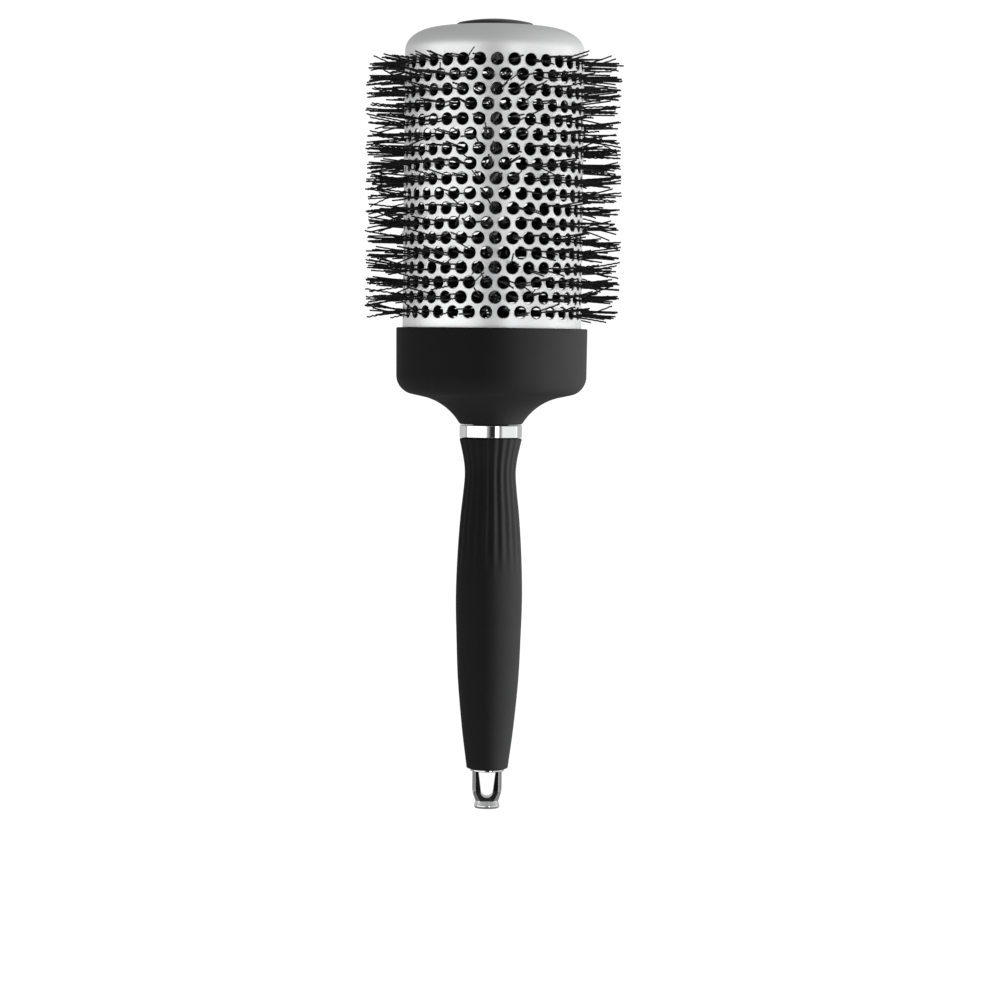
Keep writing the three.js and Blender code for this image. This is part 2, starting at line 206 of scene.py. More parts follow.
class Finish:
    """A node tree that finishes are written in, on a material or on the surroundings."""

    def __init__(self, tree):
        self.tree = tree

    def node(self, kind, settings=None, sockets=None, out=0):
        """Adds a node: its settings first, then the values or links of its sockets."""
        node = self.tree.nodes.new(kind)
        for name, setting in (settings or {}).items():
            if name == "stops":
                self.set_stops(node.color_ramp, setting)
            else:
                setattr(node, name, setting)
        for name, value in (sockets or {}).items():
            self.feed(node.inputs[name], value)
        return Value(self, node.outputs[out])

    def feed(self, socket, value):
        if isinstance(value, Value):
            self.tree.links.new(value.socket, socket)
        else:
            socket.default_value = value

    def set_stops(self, ramp, stops):
        while len(ramp.elements) < len(stops):
            ramp.elements.new(1.0)
        for element, (position, level) in zip(ramp.elements, stops):
            element.position = position
            element.color = (level, level, level, 1.0)

    def millimetres(self, stretch=(1.0, 1.0, 1.0)):
        """The place on the piece, in millimetres."""
        place = self.node("ShaderNodeTexCoord", out="Object")
        scale = tuple(side / MM for side in stretch)
        return self.node("ShaderNodeVectorMath", {"operation": "MULTIPLY"}, {0: place, 1: scale})

    def noise(self, place, per_mm, detail=3.0, roughness=0.55):
        sockets = {"Vector": place, "Scale": per_mm, "Detail": detail, "Roughness": roughness}
        return self.node("ShaderNodeTexNoise", {}, sockets)

    def split(self, vector):
        """The X, Y and Z of a vector."""
        parts = self.node("ShaderNodeSeparateXYZ", {}, {0: vector}).socket.node.outputs
        return [Value(self, part) for part in parts]

    def turn(self, x, y):
        """The angle round the brush from its front, in turns from -0.5 to 0.5."""
        return x.maths("ARCTAN2", x, 0.0 - y) / TURN

    def blend(self, amount, colour_a, colour_b):
        sockets = {0: amount, 6: colour_a, 7: colour_b}
        return self.node("ShaderNodeMix", {"data_type": "RGBA"}, sockets, out=2)

    def bump(self, height, depth_mm):
        sockets = {"Height": height, "Distance": depth_mm * MM, "Strength": 1.0}
        return self.node("ShaderNodeBump", {}, sockets)


def grey(level, cool=0.0):
    return (level * (1 - cool), level, level * (1 + cool), 1.0)


def material(name, surface, paint):
    """A material: the values of its surface shader, then the patterns that paint() returns."""
    made = bpy.data.materials.new(name)
    made.use_nodes = True
    finish = Finish(made.node_tree)
    shader = made.node_tree.nodes["Principled BSDF"]
    for socket, value in {**surface, **paint(finish)}.items():
        finish.feed(shader.inputs[socket], value)
    return made


def paint_ceramic(finish):
    """Pearl coating on the barrel, rubbed bright round each hole: the bright ring is part wear,
    part painted highlight.
    """
    rubbed_and_highlit_rim = (HOLE_R + 0.05, HOLE_R + 0.3)
    first_row_foot = (ROW_Z[0] - 3, ROW_Z[0] - 2.5)
    last_row_head = (ROW_Z[-1] + 2.5, ROW_Z[-1] + 3)
    place = finish.millimetres()
    x, y, z = finish.split(place)
    row = (z - ROW_Z[-1]) / ROW_PITCH + 0.5
    odd = (row.floor() * 0.5).fraction()
    column = finish.turn(x, y) * HOLES - TOP_ROW_TURN / TURN * HOLES - odd + 0.5
    across = (column.fraction() - 0.5) * (TURN * BARREL_R / HOLES)
    along = (row.fraction() - 0.5) * ROW_PITCH
    from_hole = (across * across + along * along) ** 0.5
    in_rows = z.between(*first_row_foot) * (1 - z.between(*last_row_head))
    # Part wear, part painted highlight: a thin ring round each hole gets a brighter, smoother, more
    # metallic finish.
    rim_wear_and_highlight = (1 - from_hole.between(*rubbed_and_highlit_rim)) * in_rows
    grain = finish.noise(place, 4.0, 4.0, 0.7)
    haze = finish.noise(place, 0.05, 3.0)
    pearl = finish.blend(haze, grey(0.91, 0.006), grey(0.96, 0.003))
    speckled = finish.blend(grain.between(0.55, 0.8) * 0.3, pearl, grey(0.98))
    return {
        "Base Color": finish.blend(rim_wear_and_highlight * 0.7, speckled, grey(0.98)),
        "Roughness": 0.38 + haze * 0.07 + grain * 0.05 - rim_wear_and_highlight * 0.16,
        "Metallic": 0.92 + rim_wear_and_highlight * 0.06,
        "Normal": finish.bump(grain, 0.004),
    }


def paint_shaded_lining(finish):
    """Painted shade inside the barrel: a near-black finish in place of the shade among the
    bristles, patchy with a noise.
    """
    place = finish.millimetres()
    shade_mottle = finish.noise(place, 0.5, 4.0)
    grain = finish.noise(place, 5.0, 3.0)
    return {
        "Base Color": finish.blend(shade_mottle, grey(0.004), grey(0.02)),
        "Roughness": 0.6 + grain * 0.25,
        "Normal": finish.bump(grain, 0.02),
    }


def paint_soft_touch(finish):
    """Matt rubbery coating with a fine grain, a little smoother where the hand rubs it."""
    place = finish.millimetres()
    x, y, z = finish.split(place)
    grain = finish.noise(place, 7.0, 2.0, 0.6)
    cloud = finish.noise(place, 0.12, 4.0)
    rubbed = (finish.turn(x, y) * (FLUTES * TURN)).cosine() * -0.5 + 0.5
    rubbed = rubbed * z.between(*FLUTE_FADE_Z) * (1 - z.between(GRIP_Z[1], GRIP_Z[1] + 1))
    return {
        "Base Color": finish.blend(cloud, grey(0.012), grey(0.015, 0.01)),
        "Roughness": 0.55 + grain * 0.1 + cloud * 0.06 - rubbed * 0.08,
        "Normal": finish.bump(grain + cloud * 0.3, 0.012),
    }


def paint_chrome(finish):
    """Plated metal with faint smears and hairline scratches, and a painted shade that darkens the
    loop's uprights.
    """
    place = finish.millimetres()
    height = finish.split(place)[2]
    smear = finish.noise(place, 0.35, 4.0)
    scratch = finish.noise(finish.millimetres((6.0, 6.0, 0.4)), 1.0, 2.0)
    # Painted shade: the chrome between these heights gets a much darker colour.
    leg_shade = height.between(*LEG_SHADE_Z) * (1 - height.between(*PLATE_Z))
    bright = finish.blend(smear, grey(0.86), grey(0.92, 0.01))
    return {
        "Base Color": finish.blend(leg_shade, bright, grey(0.34)),
        "Roughness": 0.04 + smear.between(0.45, 0.8) * 0.08,
        "Normal": finish.bump(scratch, 0.0015),
    }


def paint_cap(finish):
    """Fine-grained moulded cap with a slight sheen from the tool."""
    place = finish.millimetres()
    grain = finish.noise(place, 5.0, 3.0, 0.7)
    cloud = finish.noise(place, 0.2, 3.0)
    return {
        "Base Color": finish.blend(cloud, grey(0.035), grey(0.05)),
        "Roughness": 0.34 + grain * 0.12,
        "Normal": finish.bump(grain, 0.01),
    }


def paint_nylon(finish):
    """Black nylon that turns a little grey and rough at the tips, where it wears."""
    place = finish.millimetres()
    x, y = finish.split(place)[:2]
    worn_length = 2.5
    tip = ((x * x + y * y) ** 0.5).between(TIP_R - worn_length, TIP_R)
    streak = finish.noise(place, 1.4, 3.0)
    return {
        "Base Color": finish.blend(tip * 0.5 + streak * 0.3, grey(0.002), grey(0.008)),
        "Roughness": 0.38 + streak * 0.14 + tip * 0.15,
        "Normal": finish.bump(streak, 0.02),
    }


def paint_steel(finish):
    """Drawn wire and turned steel: fine lines and darker, duller patches."""
    place = finish.millimetres()
    lines = finish.noise(finish.millimetres((8.0, 8.0, 0.8)), 1.0, 2.0)
    patches = finish.noise(place, 0.4, 4.0)
    return {
        "Base Color": finish.blend(patches, grey(0.42), grey(0.6, 0.01)),
        "Roughness": 0.24 + lines * 0.12 + patches * 0.1,
        "Normal": finish.bump(lines, 0.004),
    }


def paint_moulded(finish):
    """Spark-eroded mould texture on black rigid plastic."""
    place = finish.millimetres()
    sparks = finish.node("ShaderNodeTexVoronoi", {}, {"Vector": place, "Scale": 3.0})
    cloud = finish.noise(place, 0.25, 3.0)
    return {
        "Base Color": finish.blend(cloud, grey(0.014), grey(0.024)),
        "Roughness": 0.45 + sparks * 0.15,
        "Normal": finish.bump(sparks, 0.015),
    }


def paint_rubber(finish):
    """Dull black rubber with a dusty bloom."""
    place = finish.millimetres()
    bloom = finish.noise(place, 1.2, 5.0)
    return {
        "Base Color": finish.blend(bloom, grey(0.012), grey(0.035)),
        "Roughness": 0.72 + bloom * 0.2,
        "Normal": finish.bump(bloom, 0.03),
    }


def paint_floor(finish):
    """Pale studio floor with a barely visible paper grain, dimmer where the brush mirrors it."""
    place = finish.millimetres()
    fibre = finish.noise(place, 0.4, 3.0)
    paper = finish.blend(fibre, grey(0.3), grey(0.34))
    mirrored = finish.node("ShaderNodeLightPath", out="Is Glossy Ray")
    return {
        "Base Color": finish.blend(mirrored, paper, grey(0.08)),
        "Roughness": 0.85 + fibre * 0.1,
        "Emission Color": finish.blend(mirrored, grey(1.0), grey(0.08)),
    }


CERAMIC = material("ceramic_coating", {"IOR": 1.5}, paint_ceramic)
# Painted shade: the barrel's inward faces get a near-black finish.
SHADED_LINING = material("barrel_painted_shade", {"Specular IOR Level": 0.2}, paint_shaded_lining)
SOFT_TOUCH = material("soft_touch_rubber", {"Specular IOR Level": 0.05}, paint_soft_touch)
CHROME = material("chrome_plating", {"Metallic": 1.0}, paint_chrome)
CAP_PLASTIC = material("cap_plastic", {"Metallic": 0.15}, paint_cap)
NYLON = material("bristle_nylon", {"Specular IOR Level": 0.3}, paint_nylon)
STEEL = material("drawn_steel", {"Metallic": 1.0}, paint_steel)
MOULDED = material("moulded_plastic", {}, paint_moulded)
RUBBER = material("friction_rubber", {"Specular IOR Level": 0.3}, paint_rubber)
FLOOR = material("pale_floor", {"Emission Strength": 0.95}, paint_floor)


# ---------------------------------------------------------------- shaping


def arc(r, z, size, start, end, steps):
    """Points (r, z) along an arc, angles in degrees from the outward direction."""
    angles = [math.radians(start + (end - start) * i / steps) for i in range(steps + 1)]
    return [(r + size * math.cos(a), z + size * math.sin(a)) for a in angles]


def bow(start, end, swell, steps):
    """Points (r, z) on a line between two points that swells upward and outward."""
    points = []
    for i in range(steps + 1):
        t = i / steps
        out = 4 * swell * t * (1 - t)
        points.append((start[0] + (end[0] - start[0]) * t + out,
                       start[1] + (end[1] - start[1]) * t + out))
    return points


def smooth_curve(points, steps):
    """A smooth curve through (r, z) points, with some steps between each two."""
    ends = [points[0], *points, points[-1]]
    curve = []
    for a, b, c, d in zip(ends, ends[1:], ends[2:], ends[3:]):
        for i in range(steps):
            t = i / steps
            curve.append(tuple(
                0.5 * (2 * q + (s - p) * t + (2 * p - 5 * q + 4 * s - u) * t**2
                       + (3 * q - p - 3 * s + u) * t**3)
                for p, q, s, u in zip(a, b, c, d)))
    return [*curve, points[-1]]


def spin_outline(bm, outline, steps, closed=True, start=0.0):
    """Spins an outline of (r, z) points round the brush's axis."""
    verts = [bm.verts.new((r * math.sin(start), -r * math.cos(start), z)) for r, z in outline]
    edges = [bm.edges.new(pair) for pair in zip(verts, verts[1:])]
    if closed:
        edges.append(bm.edges.new((verts[-1], verts[0])))
    bmesh.ops.spin(bm, geom=verts + edges, cent=(0, 0, 0), axis=(0, 0, 1), angle=TURN,
                   steps=steps, use_merge=True)


def turned(outline, steps, closed=True):
    """A turned solid from an outline of (r, z) points."""
    bm = bmesh.new()
    spin_outline(bm, outline, steps, closed)
    bmesh.ops.remove_doubles(bm, verts=bm.verts, dist=1e-4)
    bmesh.ops.recalc_face_normals(bm, faces=bm.faces)
    return bm


def piece(name, bm, finish, body, nodes, crease=32.0):
    """A finished shape in millimetres becomes a piece that stands for its CAD nodes."""
    bmesh.ops.scale(bm, vec=(MM, MM, MM), verts=bm.verts)
    for face in bm.faces:
        face.smooth = True
    for edge in bm.edges:
        edge.smooth = edge.calc_face_angle(math.pi) < math.radians(crease)
    mesh = bpy.data.meshes.new(name)
    bm.to_mesh(mesh)
    bm.free()
    mesh.materials.append(finish)
    made = bpy.data.objects.new(name, mesh)
    bpy.context.collection.objects.link(made)
    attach(made, body)
    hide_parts(*nodes)
    return made


def new_verts(result):
    return [item for item in result["geom"] if isinstance(item, bmesh.types.BMVert)]


# ---------------------------------------------------------------- barrel


def hole_cell():
    """One flat cell of the barrel's wall with its hole: X round the barrel, Y up it, Z outward."""
    bm = bmesh.new()
    half_width = math.pi * BARREL_R / HOLES
    half_height = ROW_PITCH / 2
    corners = [(half_width, -half_height), (half_width, half_height),
               (-half_width, half_height), (-half_width, -half_height)]
    rim = []
    for (x0, y0), (x1, y1) in zip(corners, corners[1:] + corners[:1]):
        for i in range(CELL_SIDE_STEPS):
            t = i / CELL_SIDE_STEPS
            rim.append(bm.verts.new((x0 + (x1 - x0) * t, y0 + (y1 - y0) * t, 0)))
    edges = [bm.edges.new(pair) for pair in zip(rim, rim[1:] + rim[:1])]

    def to_hole(out):
        return lambda way: HOLE_R + out

    def to_border(way):
        return 1 / max(abs(way.x) / half_width, abs(way.y) / half_height)

    loops = [(to_hole(out), z) for out, z in HOLE_EDGE]
    loops += [(to_hole(0), -BARREL_WALL), (to_border, -BARREL_WALL)]
    for reach, z in loops:
        grown = bmesh.ops.extrude_edge_only(bm, edges=edges)
        for v in new_verts(grown):
            way = v.co.xy.normalized()
            v.co = Vector((way.x * reach(way), way.y * reach(way), z))
        edges = [item for item in grown["geom"]
                 if isinstance(item, bmesh.types.BMEdge) and len(item.link_faces) == 1]
    return bm


def wrap_on_barrel(bm):
    """Bends a flat cell round the barrel, with its middle at the front."""
    for v in bm.verts:
        angle = v.co.x / BARREL_R
        r = BARREL_R + v.co.z
        v.co = Vector((r * math.sin(angle), -r * math.cos(angle), v.co.y))


def row_turn(row):
    """How far a row's first hole is turned from the front. Rows are staggered by half a pitch."""
    return TOP_ROW_TURN + ((len(ROW_Z) - 1 - row) % 2) * TURN / HOLES / 2


def shoulder(inset, steps):
    """The rounded shoulder's curve as (r, z) points, moved inward from the outer surface."""
    shoulder_z = BARREL_TOP_Z - SHOULDER_RISE
    width = BARREL_R - SHOULDER_CREST_R - inset
    rise = SHOULDER_RISE - inset
    power = 2 / SHOULDER_FULLNESS
    angles = [math.pi / 2 * i / steps for i in range(steps)]
    curve = [(SHOULDER_CREST_R + width * math.cos(a) ** power,
              shoulder_z + rise * math.sin(a) ** power) for a in angles]
    return [*curve, (SHOULDER_CREST_R, shoulder_z + rise)]


def make_barrel():
    """Rows of hole cells wrapped round the barrel, with its plain skirt below and crown above."""
    bm = hole_cell()
    wrap_on_barrel(bm)
    everything = bm.verts[:] + bm.edges[:] + bm.faces[:]
    bmesh.ops.spin(bm, geom=everything, cent=(0, 0, 0), axis=(0, 0, 1),
                   angle=TURN * (HOLES - 1) / HOLES, steps=HOLES - 1, use_duplicate=True)
    first_row = bm.verts[:] + bm.edges[:] + bm.faces[:]
    for row, z in enumerate(ROW_Z):
        last = row == len(ROW_Z) - 1
        ring = {"geom": first_row} if last else bmesh.ops.duplicate(bm, geom=first_row)
        verts = new_verts(ring)
        spot = Matrix.Translation((0, 0, z)) @ Matrix.Rotation(row_turn(row), 4, "Z")
        bmesh.ops.transform(bm, matrix=spot, verts=verts)

    inner_r = BARREL_R - BARREL_WALL
    low = ROW_Z[0] - ROW_PITCH / 2
    high = ROW_Z[-1] + ROW_PITCH / 2
    steps = HOLES * CELL_SIDE_STEPS
    skirt = [(BARREL_R, low), (BARREL_R, BARREL_FOOT_Z), (inner_r, BARREL_FOOT_Z), (inner_r, low)]
    spin_outline(bm, skirt, steps, closed=False, start=TOP_ROW_TURN)
    mouth = [(SHOULDER_MOUTH_R, BARREL_TOP_Z), (SHOULDER_MOUTH_R, BARREL_TOP_Z - BARREL_WALL)]
    crown = [(BARREL_R, high), *shoulder(0, 20), *mouth, *shoulder(BARREL_WALL, 10)[::-1],
             (inner_r, high)]
    spin_outline(bm, crown, steps, closed=False, start=TOP_ROW_TURN)
    bmesh.ops.remove_doubles(bm, verts=bm.verts, dist=SEAM)
    bmesh.ops.recalc_face_normals(bm, faces=bm.faces)
    bm.normal_update()
    # Faces turned inward take the second finish, the painted shade inside the barrel.
    for face in bm.faces:
        outward = face.calc_center_median()
        outward.z = max(0, outward.z - BARREL_TOP_Z + SHOULDER_RISE)
        faces_in = face.normal.dot(outward.normalized()) < -0.3
        face.material_index = int(faces_in)
    barrel = piece("perforated_barrel", bm, CERAMIC, "brush", ["barrel"], 20.0)
    barrel.data.materials.append(SHADED_LINING)


def make_end_cap():
    """A shallow dome with a rounded edge, and a skirt that plugs the barrel's mouth."""
    gap = 0.3
    skirt_r = SHOULDER_MOUTH_R - gap
    skirt_wall = 1.2
    skirt_foot_z = 279.0
    ceiling_z = 283.0
    seat_z = BARREL_TOP_Z + gap
    edge = 0.1
    land = 0.3
    swell = 0.12
    dome_r = 60.0
    dome_edge_r = 13.4
    dome_z = CAP_TOP_Z - dome_r
    tilt = math.degrees(math.acos(dome_edge_r / dome_r))
    edge_z = dome_z + math.sqrt(dome_r**2 - dome_edge_r**2)
    outline = [
        (0, ceiling_z),
        (skirt_r - skirt_wall, ceiling_z),
        (skirt_r - skirt_wall, skirt_foot_z),
        (skirt_r, skirt_foot_z),
        (skirt_r, seat_z),
        (CAP_R - edge, seat_z),
        (CAP_R, seat_z + edge),
        *bow((CAP_R, seat_z + land), (dome_edge_r, edge_z), swell, 7),
        *arc(0, dome_z, dome_r, tilt + 0.4, 90, 14)[:-1],
        (0, CAP_TOP_Z),
    ]
    piece("domed_end_cap", turned(outline, 128, closed=False), CAP_PLASTIC, "brush",
          ["end_cap"])


# ---------------------------------------------------------------- bristles


def make_filament(bm, path):
    """A thin square-sectioned filament along a path that runs outward along X."""
    section = bmesh.ops.create_circle(bm, cap_ends=True, radius=FILAMENT_R, segments=4)["verts"]
    turn = Matrix.Rotation(math.pi / 2, 4, "Y")
    bmesh.ops.transform(bm, matrix=Matrix.Translation(path[0]) @ turn, verts=section)
    cap = section[0].link_faces[0]
    for here, there in zip(path, path[1:]):
        grown = bmesh.ops.extrude_face_region(bm, geom=[cap])
        cap = next(item for item in grown["geom"] if isinstance(item, bmesh.types.BMFace))
        bmesh.ops.translate(bm, vec=there - here, verts=new_verts(grown))


def tuft_pattern(draw):
    """A tuft of crimped filaments that leaves the core, passes its hole and splays outside."""
    bm = bmesh.new()
    lean = [draw.gauss(0, amount) for amount in TUFT_LEAN]
    for _ in range(draw.choice(FILAMENTS_IN_A_TUFT)):
        stray = draw.random() < STRAY_CHANCE
        spread = STRAY_SPREAD if stray else SPREAD
        way = [amount + draw.gauss(0, spread) for amount in lean]
        around = draw.uniform(0, TURN)
        off = TUFT_R * math.sqrt(draw.random())
        y = off * math.cos(around)
        z = off * math.sin(around)
        tip = TIP_R - abs(draw.gauss(0, TIP_SCATTER)) - (STRAY_CUT * draw.random() if stray else 0)
        crimp = CRIMP * draw.choice(CRIMP_STRENGTHS)
        plane = draw.uniform(0, TURN)
        held = [draw.uniform(-half, half) for half in CORE_GRIP_HALF]
        path = [
            Vector((CORE_R, *held)),
            Vector((BARREL_R - INSIDE_HOLE, y * 0.9, z * 0.9)),
            Vector((BARREL_R + OUT_OF_HOLE, y, z)),
        ]
        length = tip - BARREL_R - OUT_OF_HOLE
        count = max(FEWEST_CRIMPS, round(length / CRIMP_STEP))
        for i in range(1, count + 1):
            along = length * i / count
            side = crimp * (1 if i % 2 else -1)
            bend = 1 + SPLAY_GROWTH * along / (TIP_R - BARREL_R)
            path.append(Vector((
                BARREL_R + OUT_OF_HOLE + along,
                y + way[0] * along * bend + side * math.cos(plane),
                z + way[1] * along * bend + side * math.sin(plane))))
        make_filament(bm, path)
    mesh = bpy.data.meshes.new("tuft_pattern")
    bm.to_mesh(mesh)
    bm.free()
    return mesh


def make_bristles():
    """Every hole gets a tuft from a set of patterns, and some rows are fuller than others."""
    draw = random.Random(18)
    patterns = [tuft_pattern(draw) for _ in range(TUFT_PATTERNS)]
    patterns.sort(key=lambda tuft: len(tuft.polygons))
    for row, node in enumerate(ROW_NODES):
        bm = bmesh.new()
        fullness = draw.random()
        for hole in range(HOLES):
            tuft = patterns[int((fullness + draw.random()) / 2 * TUFT_PATTERNS)].copy()
            angle = row_turn(row) + TURN * hole / HOLES - math.pi / 2
            half_turn = math.pi * draw.choice((0, 1))
            tuft.transform(Matrix.Translation((0, 0, ROW_Z[row])) @ Matrix.Rotation(angle, 4, "Z")
                           @ Matrix.Rotation(half_turn, 4, "X"))
            bm.from_mesh(tuft)
            bpy.data.meshes.remove(tuft)
        bmesh.ops.recalc_face_normals(bm, faces=bm.faces)
        piece(node.replace("bristle_row", "crimped_bristles"), bm, NYLON, "brush",
              [node], 100.0)
    for pattern in patterns:
        bpy.data.meshes.remove(pattern)


def make_core_wire(node, start):
    """One strand of the twisted pair, spun up the axis with its lead."""
    foot, top = heights(node)
    bm = bmesh.new()
    strand = bmesh.ops.create_circle(bm, cap_ends=True, radius=WIRE_R, segments=WIRE_SIDES)["verts"]
    slope = math.atan2(WIRE_LEAD, TURN * WIRE_HELIX_R)
    bmesh.ops.rotate(bm, cent=(0, 0, 0), matrix=Matrix.Rotation(slope - math.pi / 2, 3, "X"),
                     verts=strand)
    margin = WIRE_R * math.cos(slope)
    bmesh.ops.translate(bm, vec=(WIRE_HELIX_R, 0, foot + margin), verts=strand)
    bmesh.ops.rotate(bm, cent=(0, 0, 0), matrix=Matrix.Rotation(start, 3, "Z"), verts=strand)
    turns = (top - foot - 2 * margin) / WIRE_LEAD
    steps = round(turns * WIRE_STEPS_PER_TURN)
    rise = turns * WIRE_LEAD / steps
    bmesh.ops.spin(bm, geom=bm.verts[:] + bm.edges[:] + bm.faces[:], cent=(0, 0, 0),
                   axis=(0, 0, 1), dvec=(0, 0, rise), angle=TURN * turns, steps=steps)
    bmesh.ops.recalc_face_normals(bm, faces=bm.faces)
    piece(node.replace("core_wire", "twisted_wire"), bm, STEEL, "brush",
          [node], 60.0)


# ---------------------------------------------------------------- handle


def collar_curve(inset, flare_steps, heel_steps):
    """The collar's outer curve, moved inward: the concave flare, then the convex heel."""
    return [*arc(*FLARE_CENTRE, FLARE_R + inset, 150, 105, flare_steps),
            *arc(*HEEL_CENTRE, HEEL_R - inset, -78, 0, heel_steps)]


def make_collar():
    """A thin soft cup on the seat, with a rounded lip round the barrel's foot."""
    lip_r = BARREL_R + 0.3
    lip_round = 0.45
    bore_round = 0.25
    land = 0.15
    neck_edge = 0.2
    outer = [p for p in collar_curve(0, 28, 20) if p[1] > COLLAR_NECK_Z + 2 * neck_edge]
    inner = [p for p in collar_curve(COLLAR_SKIN, 14, 10) if p[1] > COLLAR_NECK_Z + 0.1]
    outline = [
        (inner[0][0] - neck_edge, COLLAR_NECK_Z),
        (COLLAR_NECK_R - neck_edge, COLLAR_NECK_Z),
        (COLLAR_NECK_R, COLLAR_NECK_Z + neck_edge),
        *outer,
        (COLLAR_R, COLLAR_LIP_Z - lip_round - land),
        *arc(COLLAR_R - lip_round, COLLAR_LIP_Z - lip_round, lip_round, 0, 90, 4),
        *arc(lip_r + bore_round, COLLAR_LIP_Z - bore_round, bore_round, 90, 180, 3),
        (lip_r, COLLAR_LIP_Z - bore_round - land),
        *inner[::-1],
    ]
    piece("soft_collar", turned(outline, 192), SOFT_TOUCH, "brush", ["collar"])


def make_trim_ring():
    """A plated band with rounded edges. The narrow lands beside them keep its faces flat."""
    bore_r = CORE_TUBE_R + CORE_TUBE_GAP
    edge = 0.25
    land = 0.1
    low, high = RING_Z
    outline = [
        (bore_r, low),
        (RING_R - edge - land, low),
        *arc(RING_R - edge, low + edge, edge, -90, 0, 5),
        (RING_R, low + edge + land),
        (RING_R, high - edge - land),
        *arc(RING_R - edge, high - edge, edge, 0, 90, 5),
        (RING_R - edge - land, high),
        (bore_r, high),
    ]
    piece("chrome_ring", turned(outline, 160), CHROME, "brush", ["trim_ring"])


def make_grip():
    """The grip's turned shape, with flutes under the ring that fade out at the palm swell."""
    swell = smooth_curve([
        (7.93, 17.8), (9.48, 30), (11.05, 47), (11.7, 62), (12.1, 77), (11.7, 92), (10.8, 106),
        (9.75, 116), (9.3, 122.5), (9.85, 128), (11.35, GRIP_Z[1] - 0.4),
    ], 7)
    heel_round = 0.7
    top_edge = 0.3
    bore_r = CORE_TUBE_R + CORE_TUBE_GAP
    bore_foot_z = CORE_TUBE_FOOT_Z - CORE_TUBE_GAP
    steps_per_flute = 9
    outline = [
        (PICK_HOLE_R, GRIP_Z[0]),
        *arc(6.9, GRIP_Z[0] + heel_round, heel_round, -90, -10, 6),
        *swell,
        (swell[-1][0] - top_edge, GRIP_Z[1]),
        (bore_r, GRIP_Z[1]),
        (bore_r, bore_foot_z),
        (PICK_HOLE_R, bore_foot_z),
    ]
    bm = turned(outline, FLUTES * steps_per_flute)
    for v in bm.verts:
        r = math.hypot(v.co.x, v.co.y)
        if r < bore_r + 0.1:
            continue
        fade = (v.co.z - FLUTE_FADE_Z[0]) / (FLUTE_FADE_Z[1] - FLUTE_FADE_Z[0])
        fade = min(1.0, max(0.0, fade))
        valley = (1 + math.cos(FLUTES * math.atan2(v.co.x, -v.co.y))) / 2
        shrink = 1 - FLUTE_DEPTH * fade * fade * (3 - 2 * fade) * valley / r
        v.co.x *= shrink
        v.co.y *= shrink
    piece("fluted_grip", bm, SOFT_TOUCH, "brush", ["grip"])


# ---------------------------------------------------------------- pick


def make_loop_sides():
    """The turned sides of the loop, cut flat in front and behind."""
    low = WAIST_Z - 1
    high = PLATE_Z[0] + 0.1
    side = smooth_curve([
        (WAIST_R, WAIST_Z), (4.7, 4.1), (5.2, 5.6), (LOOP_R, 7.4), (LOOP_R, 9.0),
    ], 4)
    outline = [(0, low), (WAIST_R, low), *side, (LOOP_R, high), (0, high)]
    sides = turned(outline, 96, closed=False)
    for way in (-1, 1):
        everything = sides.verts[:] + sides.edges[:] + sides.faces[:]
        cut = bmesh.ops.bisect_plane(sides, geom=everything, dist=1e-5,
                                     plane_co=(0, way * LOOP_HALF_DEPTH, 0),
                                     plane_no=(0, way, 0), clear_outer=True)
        rim = [item for item in cut["geom_cut"] if isinstance(item, bmesh.types.BMEdge)]
        bmesh.ops.contextual_create(sides, geom=rim)
    return sides


def make_loop_foot():
    """The flared foot under the waist, round in plan."""
    flare = smooth_curve([(4.5, 0.35), (4.67, 0.9), (4.5, 1.6), (WAIST_R, WAIST_Z)], 4)
    return turned([(0, 0), (4.0, 0), (4.25, 0.08), *flare, (0, WAIST_Z)], 96, closed=False)


def eye_cutter():
    """A block in the shape of the eye, rounded below and open up to the plate."""
    reach = 10
    bm = bmesh.new()
    angles = [math.radians(a) for a in range(-90, 91, 10)]
    foot = [(EYE_FOOT_R * math.sin(a), EYE_FOOT_Z - EYE_FOOT_R * math.cos(a)) for a in angles]
    loop = [(-EYE_TOP_R, PLATE_Z[0]), *foot, (EYE_TOP_R, PLATE_Z[0])]
    verts = [bm.verts.new((x, -reach, z)) for x, z in loop]
    face = bm.faces.new(verts)
    grown = bmesh.ops.extrude_face_region(bm, geom=[face])
    bmesh.ops.translate(bm, vec=(0, 2 * reach, 0), verts=new_verts(grown))
    bmesh.ops.recalc_face_normals(bm, faces=bm.faces)
    return bm


def loose(name, bm):
    """An object with the mesh just as it is, for a carving blank or the floor."""
    mesh = bpy.data.meshes.new(name)
    bm.to_mesh(mesh)
    bm.free()
    made = bpy.data.objects.new(name, mesh)
    bpy.context.collection.objects.link(made)
    return made


def carve(blank, tool, operation):
    """Joins a tool to a blank, or cuts it out."""
    step = blank.modifiers.new("carve", "BOOLEAN")
    step.operation = operation
    step.solver = "EXACT"
    step.object = tool


